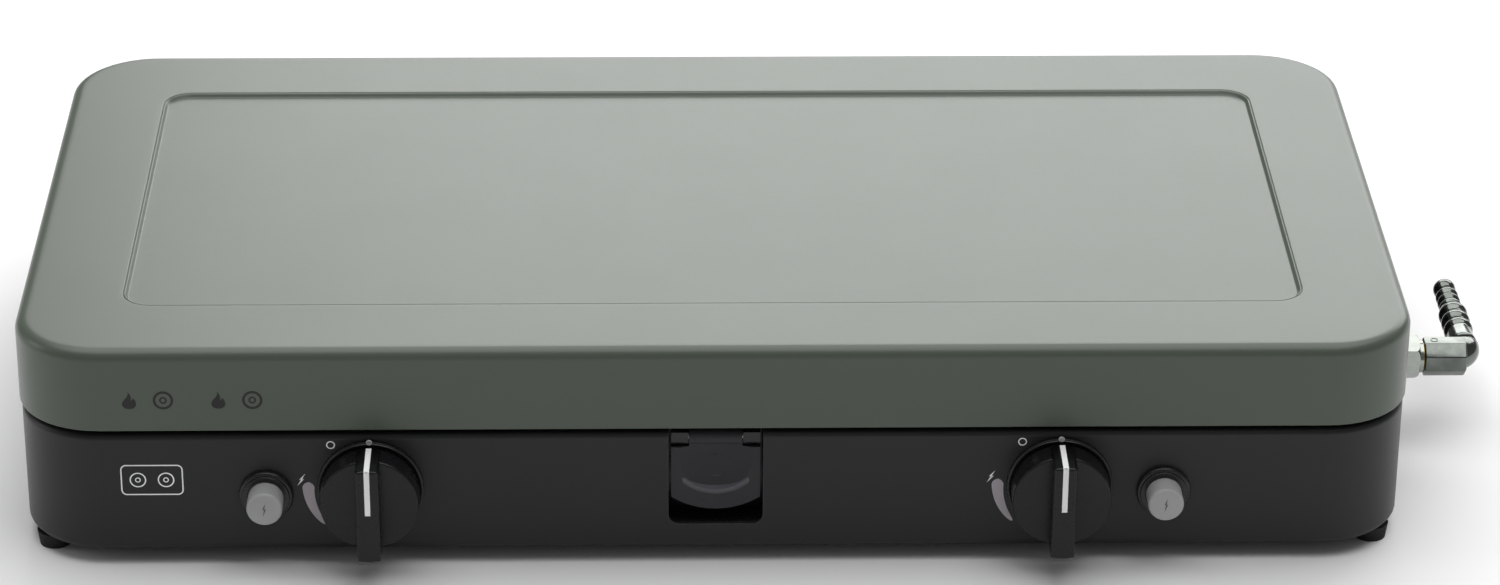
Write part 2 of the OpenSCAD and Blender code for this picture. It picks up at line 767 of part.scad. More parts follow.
module burner_base(side) {
    low = knob_z + mix_elbow_r + 1;
    color([0.66, 0.66, 0.65]) place() translate([side * control_x, burner_y, 0]) difference() {
        union() {
            translate([0, 0, low]) cylinder(h = cap_z - low, d = cup_d);
            translate([0, 0, well_z + hob_sheet]) cylinder(h = 1.8, d = cup_flange_d);
        }
        translate([0, 0, low + 3]) cylinder(h = 40, d = cup_d - 6);
        translate([0, 0, low - 1]) cylinder(h = 10, d = mix_d + 2 * snug);
    }
}

module burner_cap(side) {
    color([0.13, 0.13, 0.13]) place() translate([side * control_x, burner_y, cap_z]) difference() {
        union() {
            rotate_extrude() edge_section(0, 0, cap_d / 2, cap_h, 0, 2.5);
            translate([0, 0, -3]) cylinder(h = 4, d = cup_d - 6 - 2 * gap);
        }
        translate([0, 0, -4]) cylinder(h = cap_h + 1, d = cup_d - 12);
        for (k = [0:flame_slots - 1]) rotate([0, 0, 360 * k / flame_slots + 4])
            translate([cup_d / 2 - 8, -0.9, 2.5]) cube([20, 1.8, 5]);
    }
}

module pan_support(side) {
    r = support_d / 2;
    color([0.10, 0.10, 0.10]) place() translate([side * control_x, burner_y, 0]) union() {
        translate([0, 0, support_z]) rotate_extrude() translate([r, 0]) circle(d = support_wire);
        for (k = [0:3]) rotate([0, 0, 45 + 90 * k])
            rod([[r, 0, support_z], [r, 0, support_top - support_wire / 2],
                [20, 0, support_top - support_wire / 2]], support_wire - 0.4);
    }
}

// ---- ignition ----

module electrode(side) {
    x = side * (control_x + electrode_x);
    color([0.92, 0.91, 0.87]) place() translate([x, burner_y, 0]) union() {
        translate([0, 0, well_z - 12]) cylinder(h = 24, d = 5);
        translate([0, 0, well_z + hob_sheet]) cylinder(h = 1.6, d = 8);
        rod([[0, 0, well_z + 11], [0, 0, well_z + 16], [-side * 3.5, 0, well_z + 18.5]], 1.4);
    }
}

module ignition_lead(side) {
    ex = side * (control_x + electrode_x);
    color([0.75, 0.22, 0.16]) place() lead([
        [side * igniter_x, wall_y + sleeve_l, press_z],
        [side * igniter_x, wall_y + sleeve_l + 12, press_z],
        [side * igniter_x, wall_y + sleeve_l + 34, low_z + 6],
        [ex, burner_y - 20, low_z + 6],
        [ex, burner_y, low_z + 16],
        [ex, burner_y, well_z - 12]
    ], lead_d);
}

module igniter_body(side) {
    color([0.16, 0.16, 0.17]) place() on_panel(side * igniter_x, press_z) difference() {
        union() {
            translate([0, 0, -sleeve_l]) cylinder(h = sleeve_l + 1, d = sleeve_d);
            translate([0, 0, -base_sheet - 4]) cylinder(h = 4, d = panel_nut_d, $fn = 6);
        }
        translate([0, 0, seat_a]) cylinder(h = 40, d = sleeve_bore);
    }
}

module igniter_collar(side) {
    color([0.12, 0.12, 0.125]) place() on_panel(side * igniter_x, press_z) difference() {
        rotate_extrude() union() {
            edge_section(0, 0, collar_d / 2, collar_h - 1, 0, 1.2);
            edge_section(0, 0, collar_d / 2 - 1.3, collar_h, 0, 0.5);
        }
        translate([0, 0, -1]) cylinder(h = 10, d = sleeve_bore);
        translate([0, 0, -1]) cylinder(h = 2 + snug, d = sleeve_d + 2 * snug);
    }
}

module igniter_button(side) {
    color([0.48, 0.48, 0.49]) place() on_panel(side * igniter_x, press_z) rotate_extrude() difference() {
        edge_section(0, button_rear_a, button_d / 2, button_a, 0.3, 0.9);
        translate([-1, button_rear_a - 1]) square([button_d / 2 - 1.6 + 1, 8]);
    }
}

module igniter_spring(side) {
    low = seat_a + 0.1;
    high = button_rear_a + 6.9;
    color("silver") place() on_panel(side * igniter_x, press_z)
        translate([0, 0, low]) coil(button_d / 2 - 2.6, 0.8, high - low, 5);
}

// ---- gas line ----

module gas_rail() {
    y0 = wall_y - rail_a;
    x1 = side_x - 34;
    color([0.74, 0.63, 0.36]) place() difference() {
        union() {
            rod([[-control_x - 16, y0, rail_z], [x1, y0, rail_z], [x1, -inlet_y, gas_z],
                [side_x - 12, -inlet_y, gas_z]], rail_d);
            on_side(-inlet_y, gas_z) {
                translate([0, 0, -base_sheet - 11]) cylinder(h = 11, d = 19.6, $fn = 6);
                translate([0, 0, -base_sheet - lap]) cylinder(h = 24.6, d = inlet_d);
            }
        }
        rod([[-control_x - 14, y0, rail_z], [x1, y0, rail_z], [x1, -inlet_y, gas_z],
            [side_x - 11, -inlet_y, gas_z]], rail_d - 2);
        on_side(-inlet_y, gas_z) translate([0, 0, -14]) cylinder(h = 50, d = inlet_bore);
        for (s = [-1, 1]) translate([s * control_x, y0, rail_z]) cylinder(h = 8, d = 2);
    }
}

module inlet_nut() {
    color([0.80, 0.80, 0.77]) place() on_side(-inlet_y, gas_z) difference() {
        union() {
            intersection() {
                rotate([0, 0, -nut_turn]) cylinder(h = nut_l, d = nut_af / cos(30), $fn = 6);
                rotate_extrude() edge_section(0, 0, nut_af / 2 / cos(30) + joint_swell, nut_l, 0.5, 2.2);
            }
            translate([0, 0, nut_l - lap]) cylinder(h = lap + 1.4, d = 13.4);
        }
        translate([0, 0, -1]) cylinder(h = 40, d = inlet_d + 2 * snug);
    }
}

// octagonal elbow, brazed bend and barbed hose tail in one piece
module hose_elbow() {
    start = nut_l + 1.7;
    bend_r = barb_x - side_x - start - elbow_l + 5.45;
    neck = 5.2;
    pitch = 7;
    tip_r = barb_small_d / 2;
    big0 = 20;
    small0 = big0 + 3 * pitch;
    reach = barb_reach - tip_r;
    crest = 1.2;
    bend_x = barb_x - bend_r;
    color([0.74, 0.75, 0.74]) place() difference() {
        union() {
            on_side(-inlet_y, gas_z) {
                translate([0, 0, start]) intersection() {
                    rotate([0, 0, 22.5]) cylinder(h = elbow_l, d = elbow_af / cos(22.5), $fn = 8);
                    rotate_extrude()
                        edge_section(0, 0, elbow_af / 2 / cos(22.5) + joint_swell, elbow_l, 0.5, 0.8);
                }
            }
            // bend towards the rear
            translate([bend_x, -inlet_y + bend_r, gas_z]) rotate_extrude(angle = 90, start = 270)
                translate([bend_r, 0]) circle(neck + 0.3);
            // tail: neck, three large barbs, three small barbs and a ball end
            translate([barb_x, -inlet_y, gas_z]) rotate([-90, 0, 0]) {
                translate([0, 0, bend_r]) cylinder(h = big0 - bend_r + 1, r = neck);
                translate([0, 0, big0]) cylinder(h = 3 * pitch, r = barb_big_d / 2 - 1.4);
                translate([0, 0, small0]) cylinder(h = reach - small0, r = tip_r - 1.1);
                for (k = [0:2]) {
                    translate([0, 0, big0 + pitch * k]) barb(barb_big_d / 2, 1.4, pitch - 1.4, crest);
                    translate([0, 0, small0 + pitch * 0.72 * k]) barb(tip_r, 1.1, pitch * 0.72 - 1, crest);
                }
                translate([0, 0, reach]) sphere(r = tip_r);
            }
        }
        translate([barb_x, -inlet_y, gas_z]) rotate([-90, 0, 0]) cylinder(h = 90, d = tail_bore);
        on_side(-inlet_y, gas_z) {
            translate([0, 0, start - 2]) cylinder(h = barb_x - side_x - start + 2, d = tail_bore);
            translate([0, 0, start - 2]) cylinder(h = 8, d = inlet_d + 2 * snug);
        }
        translate([barb_x, -inlet_y, gas_z]) sphere(d = tail_bore);
    }
}

// one crest: a short ramp, a land and a long ramp
module barb(r, h, l, land) {
    translate([0, 0, 0]) cylinder(h = 1, r1 = r - h, r2 = r);
    translate([0, 0, 1]) cylinder(h = land, r = r);
    translate([0, 0, 1 + land]) cylinder(h = l - 1 - land, r1 = r, r2 = r - h);
}

// ---- latch ----

module latch_pocket() {
    z0 = low_z + latch_low;
    roof = top_z - shoulder_r - gap;
    back_y = wall_y + base_sheet + pocket_depth - pocket_t;
    color([0.09, 0.09, 0.095]) place() difference() {
        union() {
            difference() {
                translate([-latch_w / 2 - pocket_t, wall_y + base_sheet, z0 - pocket_t])
                    cube([latch_w + 2 * pocket_t, pocket_depth, roof - z0 + pocket_t]);
                translate([-latch_w / 2, wall_y, z0])
                    cube([latch_w, back_y - wall_y, top_z]);
            }
            // blocks beside the flap's neck, rounded below so that the flap can swing
            for (s = [-1, 1]) {
                w = block_w - gap;
                r = neck_r - 0.1;
                translate([s * (flap_w / 2 - w / 2) - w / 2, wall_y - pin_a, pin_z]) union() {
                    rotate([0, 90, 0]) cylinder(h = w, r = r);
                    translate([0, 0, -r]) cube([w, back_y + lap - wall_y + pin_a, r]);
                    translate([0, -r, 0]) cube([w, back_y + lap - wall_y + pin_a + r, top_z - pin_z - lap]);
                }
            }
        }
        latch_bore(latch_pin_d + 2 * snug);
    }
}

module latch_bore(d) {
    translate([-latch_w, wall_y - pin_a, pin_z]) rotate([0, 90, 0]) cylinder(h = 2 * latch_w, d = d);
}

module latch_flap() {
    front = -0.8;
    back = -5;
    arm_t = 2.4;
    arm_a = hem_w - lid_over + 0.65;
    hook_z = seam_z + lid_sheet + striker_t + gap;
    wing_top = neck_r + 0.2;
    scoop_r = 36;
    scoop_z = low_z + latch_low + 29;
    room_r = coil_r + coil_wire / 2 + gap;
    color([0.13, 0.13, 0.135]) place() on_panel(0, 0) difference() {
        union() {
            // plate with an arc-shaped lower edge and a scoop for the fingertip
            difference() {
                union() {
                    intersection() {
                        translate([-flap_w / 2, pin_z - 40, back])
                            cube([flap_w, 40 - wing_top, front - back]);
                        translate([0, pin_z, back]) cylinder(h = front - back, r = flap_r, $fn = 96);
                    }
                    translate([-neck_w / 2, pin_z - 6, back]) cube([neck_w, 6, front - back]);
                }
                translate([0, scoop_z, front + scoop_r - 3]) sphere(r = scoop_r, $fn = 128);
            }
            translate([-neck_w / 2, pin_z, pin_a]) rotate([0, 90, 0]) cylinder(h = neck_w, r = neck_r);
            // hook arm that rises into the lid
            translate([-arm_w + arm_side, pin_z, -arm_a - arm_t]) cube([arm_w, hook_z + 3 - pin_z, arm_t]);
            translate([-arm_w + arm_side, hook_z, -arm_a - 0.1]) cube([arm_w, 2.6, 0.45]);
            translate([-arm_w + arm_side, pin_z - 2.2, -arm_a - arm_t]) cube([arm_w, 4.4, arm_t + 0.2]);
        }
        latch_bore_local(latch_pin_d + 2 * run);
        // room for the spring, open at the back
        translate([coil_x - gap, pin_z, pin_a]) rotate([0, 90, 0])
            cylinder(h = coil_l + 2 * gap, r = room_r);
        translate([coil_x - gap, pin_z - room_r, pin_a - 5]) cube([coil_l + 2 * gap, 2 * room_r, 5]);
    }
}

module latch_bore_local(d) {
    translate([-latch_w, pin_z, pin_a]) rotate([0, 90, 0]) cylinder(h = 2 * latch_w, d = d);
}

module latch_pin() {
    color("silver") place() translate([-flap_w / 2 + 0.6, wall_y - pin_a, pin_z]) rotate([0, 90, 0])
        cylinder(h = flap_w - 1.2, d = latch_pin_d);
}

module latch_spring() {
    color("silver") place() translate([coil_x, wall_y - pin_a, pin_z]) rotate([0, 90, 0])
        coil(coil_r, coil_wire, coil_l, 5);
}

base_tray();
hob_plate();
lid();
lid_striker();
lid_bumpers();
foot(-1, -1);  // foot_front_left
foot(1, -1);  // foot_front_right
foot(-1, 1);  // foot_rear_left
foot(1, 1);  // foot_rear_right
foot_screws();
hob_screws();
hinge_leaf(-1);  // hinge_leaf_left
hinge_leaf(1);  // hinge_leaf_right
lid_leaf(-1);  // lid_leaf_left
lid_leaf(1);  // lid_leaf_right
hinge_pins();
hinge_rivets();
lid_rivets();
knob(-1);  // knob_left
knob(1);  // knob_right
knob_bezel(-1);  // knob_bezel_left
knob_bezel(1);  // knob_bezel_right
valve_body(-1);  // valve_body_left
valve_body(1);  // valve_body_right
valve_stem(-1);  // valve_stem_left
valve_stem(1);  // valve_stem_right
stem_washer(-1);  // stem_washer_left
stem_washer(1);  // stem_washer_right
valve_spring(-1);  // valve_spring_left
valve_spring(1);  // valve_spring_right
gas_jet(-1);  // gas_jet_left
gas_jet(1);  // gas_jet_right
mixing_tube(-1);  // mixing_tube_left
mixing_tube(1);  // mixing_tube_right
burner_base(-1);  // burner_base_left
burner_base(1);  // burner_base_right
burner_cap(-1);  // burner_cap_left
burner_cap(1);  // burner_cap_right
pan_support(-1);  // pan_support_left
pan_support(1);  // pan_support_right
electrode(-1);  // electrode_left
electrode(1);  // electrode_right
ignition_lead(-1);  // ignition_lead_left
ignition_lead(1);  // ignition_lead_right
igniter_body(-1);  // igniter_body_left
igniter_body(1);  // igniter_body_right
igniter_collar(-1);  // igniter_collar_left
igniter_collar(1);  // igniter_collar_right
igniter_button(-1);  // igniter_button_left
igniter_button(1);  // igniter_button_right
igniter_spring(-1);  // igniter_spring_left
igniter_spring(1);  // igniter_spring_right
gas_rail();
inlet_nut();
hose_elbow();
latch_pocket();
latch_flap();
latch_pin();
latch_spring();
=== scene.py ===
import json
import math

import bmesh
import bpy
from mathutils import Matrix, Vector


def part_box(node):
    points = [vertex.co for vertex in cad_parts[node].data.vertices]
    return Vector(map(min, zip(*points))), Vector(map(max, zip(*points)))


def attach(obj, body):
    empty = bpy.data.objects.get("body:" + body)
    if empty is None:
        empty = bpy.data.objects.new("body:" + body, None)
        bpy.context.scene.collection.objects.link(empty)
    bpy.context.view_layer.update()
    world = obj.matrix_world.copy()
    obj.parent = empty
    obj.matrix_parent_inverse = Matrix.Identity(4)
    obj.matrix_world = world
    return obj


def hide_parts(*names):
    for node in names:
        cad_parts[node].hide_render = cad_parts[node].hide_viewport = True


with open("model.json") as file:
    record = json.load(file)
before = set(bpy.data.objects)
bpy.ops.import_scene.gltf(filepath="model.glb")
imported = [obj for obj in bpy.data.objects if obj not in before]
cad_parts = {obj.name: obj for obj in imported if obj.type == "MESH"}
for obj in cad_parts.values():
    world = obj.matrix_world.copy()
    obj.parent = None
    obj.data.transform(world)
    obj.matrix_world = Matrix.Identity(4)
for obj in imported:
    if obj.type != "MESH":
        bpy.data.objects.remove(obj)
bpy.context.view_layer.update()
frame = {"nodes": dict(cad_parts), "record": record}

# A closed two-burner camping stove. Lengths are in millimetres unless a name or comment says otherwise.
MM = 0.001

# ---------------------------------------------------------------- places from the frame, in metres

lid_low, lid_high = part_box("lid")
tray_low, tray_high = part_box("base_tray")
CENTRE_X = (lid_low.x + lid_high.x) / 2
CENTRE_Y = (lid_low.y + lid_high.y) / 2
PANEL_Y = tray_low.y    # front of the base
SIDE_X = tray_high.x    # right-hand side of the base


# ---------------------------------------------------------------- materials

class Graph:
    """A small helper round one material's node tree."""

    def __init__(self, name):
        self.material = bpy.data.materials.new(name)
        self.material.use_nodes = True
        self.tree = self.material.node_tree
        self.shader = self.tree.nodes["Principled BSDF"]
        self.coords = self.tree.nodes.new("ShaderNodeTexCoord").outputs["Object"]

    def node(self, kind, **values):
        """Adds a node: a small first letter names a setting, a capital one names an input."""
        made = self.tree.nodes.new(kind)
        for key, value in values.items():
            if key[0].isupper():
                made.inputs[key.replace("_", " ")].default_value = value
            else:
                setattr(made, key, value)
        return made

    def link(self, source, target):
        self.tree.links.new(source, target)

    def feed(self, socket, value, constant):
        """Links an output to the socket, or sets the constant where the value is a plain one."""
        if isinstance(value, (int, float, tuple)):
            socket.default_value = constant(value)
        else:
            self.link(value, socket)

    def noise(self, scale, detail=3.0, coords=None):
        """Noise fixed to the object, with its scale in features per metre."""
        made = self.node("ShaderNodeTexNoise", Scale=scale, Detail=detail)
        self.link(coords or self.coords, made.inputs["Vector"])
        return made.outputs["Fac"]

    def ranged(self, value, low, high, start=0.3, end=0.7):
        """Maps start..end to low..high."""
        made = self.node("ShaderNodeMapRange", From_Min=start, From_Max=end, To_Min=low, To_Max=high)
        self.link(value, made.inputs["Value"])
        return made.outputs["Result"]

    def math(self, operation, first, second):
        made = self.node("ShaderNodeMath", operation=operation)
        for socket, value in zip(made.inputs, (first, second)):
            self.feed(socket, value, float)
        return made.outputs[0]

    def mix(self, factor, first, second):
        """Mixes two colours, each a tuple or an output."""
        made = self.node("ShaderNodeMix", data_type="RGBA")
        self.feed(made.inputs["Factor"], factor, float)
        for socket, value in zip(made.inputs[6:8], (first, second)):
            self.feed(socket, value, lambda colour: (*colour, 1.0))
        return made.outputs[2]

    def edges(self, radius):
        """Near 1 where the surface turns sharply within the radius in metres, 0 on flat stretches."""
        bevel = self.node("ShaderNodeBevel", samples=4, Radius=radius)
        flat = self.node("ShaderNodeNewGeometry").outputs["Normal"]
        dot = self.node("ShaderNodeVectorMath", operation="DOT_PRODUCT")
        self.link(bevel.outputs["Normal"], dot.inputs[0])
        self.link(flat, dot.inputs[1])
        return self.ranged(dot.outputs["Value"], 1.0, 0.0, 0.80, 0.995)

    def bump(self, *layers):
        """Each layer is (height, strength, distance in metres), coarse first."""
        normal = None
        for height, strength, distance in layers:
            made = self.node("ShaderNodeBump", Strength=strength, Distance=distance)
            self.link(height, made.inputs["Height"])
            if normal:
                self.link(normal, made.inputs["Normal"])
            normal = made.outputs["Normal"]
        self.link(normal, self.shader.inputs["Normal"])


def tint(colour, factor):
    """A lighter or darker shade of a colour."""
    return tuple(min(1.0, channel * factor) for channel in colour)


def painted(name, colour, rough, peel=0.10, edge=0.35, specular=0.5, coat=0.0, edge_colour=None, cloud=0.05):
    """Powder coat or stoved paint on steel: fine orange peel, faint clouding, thinner at the edges."""
    g = Graph(name)
    speck = g.noise(900.0, 2.0)
    base = g.mix(g.ranged(g.noise(9.0, 2.0), 0.0, 1.0), tint(colour, 1 - cloud), tint(colour, 1 + cloud))
    base = g.mix(g.ranged(speck, 0.0, 0.10), base, tint(colour, 1.35))
    worn = g.math("MULTIPLY", g.edges(0.8 * MM), g.ranged(g.noise(220.0), 0.15, edge))
    g.link(g.mix(worn, base, edge_colour or tint(colour, 1.7)), g.shader.inputs["Base Color"])
    smear = g.ranged(g.noise(24.0, 4.0), rough - 0.4 * cloud, rough + 0.5 * cloud)
    g.link(g.math("ADD", smear, g.ranged(speck, -0.02, 0.03)), g.shader.inputs["Roughness"])
    g.shader.inputs["Specular IOR Level"].default_value = specular
    g.shader.inputs["Coat Weight"].default_value = coat
    g.shader.inputs["Coat Roughness"].default_value = 0.2
    g.bump((g.noise(260.0, 2.0), peel, 0.12 * MM), (g.noise(1500.0, 2.0), peel * 0.8, 0.04 * MM))
    return g.material


def plastic(name, colour, rough, grain=0.25, edge=0.5, specular=0.4, grain_scale=1400.0):
    """Moulded plastic with a fine spark-eroded grain, polished a little at its edges."""
    g = Graph(name)
    base = g.mix(g.ranged(g.noise(40.0), 0.0, 1.0), tint(colour, 0.9), tint(colour, 1.1))
    worn = g.math("MULTIPLY", g.edges(0.5 * MM), g.ranged(g.noise(500.0, 2.0), 0.2, edge))
    g.link(g.mix(worn, base, tint(colour, 2.2)), g.shader.inputs["Base Color"])
    fine = g.noise(grain_scale, 2.0)
    rub = g.ranged(g.noise(60.0, 4.0), rough - 0.05, rough + 0.06)
    g.link(g.math("ADD", rub, g.ranged(fine, -0.03, 0.03)), g.shader.inputs["Roughness"])
    g.shader.inputs["Specular IOR Level"].default_value = specular
    g.bump((fine, grain, 0.05 * MM))
    return g.material


def metal(name, colour, rough, scratch=0.15, stretch=(1.0, 1.0, 1.0), tarnish=0.25):
    """Bare or plated metal with directional tool marks, smears and darker tarnish."""
    g = Graph(name)
    mapping = g.node("ShaderNodeMapping", Scale=stretch)
    g.link(g.coords, mapping.inputs["Vector"])
    lines = g.noise(900.0, coords=mapping.outputs["Vector"])
    stain = g.ranged(g.noise(140.0, 4.0), 0.0, tarnish)
    base = g.mix(stain, colour, tint(colour, 0.55))
    worn = g.math("MULTIPLY", g.edges(0.4 * MM), 0.6)
    g.link(g.mix(worn, base, tint(colour, 1.25)), g.shader.inputs["Base Color"])
    g.shader.inputs["Metallic"].default_value = 1.0
    rub = g.ranged(g.noise(200.0, 4.0), rough - 0.06, rough + 0.10)
    g.link(g.math("ADD", rub, g.ranged(lines, -0.03, 0.04)), g.shader.inputs["Roughness"])
    g.bump((lines, scratch, 0.03 * MM))
    return g.material


def rubber(name, colour, rough=0.75):
    """Soft black or coloured rubber with a pale bloom of dust."""
    g = Graph(name)
    dust = g.ranged(g.noise(300.0, 4.0), 0.0, 0.35)
    g.link(g.mix(dust, colour, tint(colour, 2.4)), g.shader.inputs["Base Color"])
    g.link(g.ranged(g.noise(90.0), rough - 0.08, rough + 0.08), g.shader.inputs["Roughness"])
    g.shader.inputs["Specular IOR Level"].default_value = 0.3
    g.bump((g.noise(1100.0, 2.0), 0.3, 0.06 * MM))
    return g.material


def ceramic(name, colour):
    """Glazed insulator, a little sooty."""
    g = Graph(name)
    soot = g.ranged(g.noise(260.0, 4.0), 0.0, 0.25)
    g.link(g.mix(soot, colour, tint(colour, 0.5)), g.shader.inputs["Base Color"])
    g.link(g.ranged(g.noise(120.0), 0.22, 0.36), g.shader.inputs["Roughness"])
    g.bump((g.noise(700.0, 2.0), 0.1, 0.04 * MM))
    return g.material


SLOTS = {
    "base_paint": painted("base_paint", (0.015, 0.015, 0.016), 0.40, specular=0.30, edge=0.4,
                          edge_colour=(0.12, 0.12, 0.12)),
    "lid_paint": painted("lid_paint", (0.070, 0.088, 0.067), 0.38, specular=0.42, coat=0.10, edge=0.12,
                         cloud=0.015),
    "hob_enamel": painted("hob_enamel", (0.012, 0.012, 0.013), 0.16, peel=0.16, coat=0.5),
    "hinge_paint": painted("hinge_paint", (0.022, 0.022, 0.023), 0.45, edge=0.6),
    "support_enamel": painted("support_enamel", (0.014, 0.014, 0.014), 0.30, peel=0.2, edge=0.7),
    "knob_plastic": plastic("knob_plastic", (0.008, 0.008, 0.009), 0.28, grain=0.12, specular=0.27),
    "trim_plastic": plastic("trim_plastic", (0.014, 0.014, 0.015), 0.27, grain=0.1, specular=0.38),
    "latch_plastic": plastic("latch_plastic", (0.022, 0.021, 0.025), 0.60, grain=0.9, grain_scale=1100.0),
    "button_plastic": plastic("button_plastic", (0.38, 0.38, 0.385), 0.42, edge=0.3),
    "black_rubber": rubber("black_rubber", (0.012, 0.012, 0.012)),
    "lead_silicone": rubber("lead_silicone", (0.42, 0.055, 0.035), 0.55),
    "ceramic": ceramic("ceramic", (0.82, 0.80, 0.74)),
    "zinc_steel": metal("zinc_steel", (0.62, 0.62, 0.61), 0.32),
    "valve_brass": metal("valve_brass", (0.66, 0.48, 0.21), 0.30),
    "cast_aluminium": metal("cast_aluminium", (0.60, 0.60, 0.59), 0.48, scratch=0.4),
    "nickel": metal("nickel", (0.36, 0.38, 0.35), 0.16, stretch=(0.15, 1.0, 1.0)),
}

# Finishes of drawn pieces only.
MARK_WHITE = plastic("mark_white", (0.92, 0.92, 0.92), 0.45, grain=0.05, edge=0.2)
MARK_GREY = plastic("mark_grey", (0.09, 0.09, 0.09), 0.5, grain=0.05, edge=0.2)
MARK_MAUVE = plastic("mark_mauve", (0.42, 0.385, 0.42), 0.5, grain=0.2, edge=0.2)
MARK_BLACK = plastic("mark_black", (0.006, 0.007, 0.006), 0.45, grain=0.1, edge=0.2)
PIP_GREY = plastic("pip_grey", (0.50, 0.50, 0.50), 0.25, grain=0.05, edge=0.3)
# The scoop's rim: a lighter copy of the latch plastic with strongly lightened edges, painted highlight for
# the light on its upward face and its edge.
RIM_GREY_PAINTED_HIGHLIGHT = plastic("rim_grey_painted_highlight", (0.050, 0.047, 0.060), 0.42, grain=1.0, edge=0.9, specular=0.75,
                   grain_scale=900.0)
# Nickel plating with a very dark base colour: painted dark reflection, standing in for dark surroundings
# seen in the plating.
CHROME_PAINTED_DARK_REFLECTION = metal("chrome_painted_dark_reflection", (0.17, 0.185, 0.17), 0.10, scratch=0.25, stretch=(0.2, 1.0, 1.0),
                    tarnish=0.8)

for row in frame["record"]["subparts"]:
    mesh = frame["nodes"][row["node"]].data
    mesh.materials.clear()
    mesh.materials.append(SLOTS[row["material_slot"]])


# ---------------------------------------------------------------- mesh helpers

class Frame:
    """A local frame in millimetres: u across, v up, w out of the surface."""

    def __init__(self, origin, u, v, w):
        self.origin, self.u, self.v, self.w = Vector(origin), Vector(u), Vector(v), Vector(w)

    def at(self, u, v, w):
        return self.origin + (self.u * u + self.v * v + self.w * w) * MM

    def polar(self, radius, angle, w):
        return self.at(radius * math.cos(angle), radius * math.sin(angle), w)


def facing(x, y, z):
    """A frame at a point in metres that looks out of the stove's front."""
    return Frame((x, y, z), (1, 0, 0), (0, 0, 1), (0, -1, 0))


def on_panel(node):
    """A frame on the front panel, centred on a round control."""
    low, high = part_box(node)
    return facing((low.x + high.x) / 2, PANEL_Y, (low.z + high.z) / 2)


def proud(y):
    """How far a place in metres stands out of the front panel."""
    return (PANEL_Y - y) / MM


def piece(name, verts, faces, material, body, slot, replaces=(), smooth=True):
    """A finished mesh piece, given in metres in the shared frame, which moves with one body."""
    data = bpy.data.meshes.new(name)
    data.from_pydata([tuple(v) for v in verts], [], faces)
    data.update()
    made = bmesh.new()
    made.from_mesh(data)
    bmesh.ops.recalc_face_normals(made, faces=made.faces)
    made.to_mesh(data)
    made.free()
    obj = bpy.data.objects.new(name, data)
    bpy.context.scene.collection.objects.link(obj)
    data.materials.append(material)
    if smooth:
        data.polygons.foreach_set("use_smooth", [True] * len(data.polygons))
        weighted = obj.modifiers.new("weighted", "WEIGHTED_NORMAL")
        weighted.keep_sharp = True
    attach(obj, body)
    if replaces:
        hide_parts(*replaces)


def bridge(loops, ring=False):
    """Faces between successive loops of equal length: capped at both ends, or closed into a ring."""
    n, count = len(loops[0]), len(loops)
    verts = [point for loop in loops for point in loop]
    faces = []
    for k in range(count if ring else count - 1):
        a, b = k * n, (k + 1) % count * n
        faces += [(a + i, a + (i + 1) % n, b + (i + 1) % n, b + i) for i in range(n)]
    if not ring:
        faces.append(tuple(range(n - 1, -1, -1)))
        faces.append(tuple(range((count - 1) * n, count * n)))
    return verts, faces


def join(parts):
    """Several (verts, faces) pairs as one."""
    verts, faces = [], []
    for more_verts, more_faces in parts:
        base = len(verts)
        verts += more_verts
        faces += [tuple(i + base for i in face) for face in more_faces]
    return verts, faces


def lathe(f, profile, sides, ring=False):
    """Turns a profile of (w, radius) pairs round the frame's w axis, with flat caps unless it is a ring."""
    angles = [math.tau * k / sides for k in range(sides)]
    return bridge([[f.polar(radius, a, w) for a in angles] for w, radius in profile], ring)


def fillet(w0, r0, w1, r1, steps=5):
    """A quarter round from (w0, r0) to (w1, r1) that leaves along w and arrives across it."""
    angles = [math.pi / 2 * k / steps for k in range(steps + 1)]
    return [(w0 + (w1 - w0) * math.sin(a), r1 + (r0 - r1) * math.cos(a)) for a in angles]


def prism(f, outline, w0, w1):
    """A flat shape given by (u, v) points, raised from w0 to w1."""
    return bridge([[f.at(u, v, w) for u, v in outline] for w in (w0, w1)])


def annulus(f, u, v, r0, r1, w0, w1, sides=40):
    """A flat ring centred on (u, v), raised from w0 to w1."""
    middle = Frame(f.at(u, v, 0), f.u, f.v, f.w)
    return lathe(middle, ((w0, r0), (w0, r1), (w1, r1), (w1, r0)), sides, ring=True)


def rounded(half_u, half_v, corner, steps, grow=0.0):
    """(u, v) points round a rounded rectangle, anticlockwise, with its corner arcs grown outwards."""
    points = []
    for su, sv, start in ((1, 1, 0), (-1, 1, 90), (-1, -1, 180), (1, -1, 270)):
        for k in range(steps + 1):
            a = math.radians(start + 90 * k / steps)
            points.append((su * (half_u - corner) + (corner + grow) * math.cos(a),
                           sv * (half_v - corner) + (corner + grow) * math.sin(a)))
    return points


# ---------------------------------------------------------------- lid

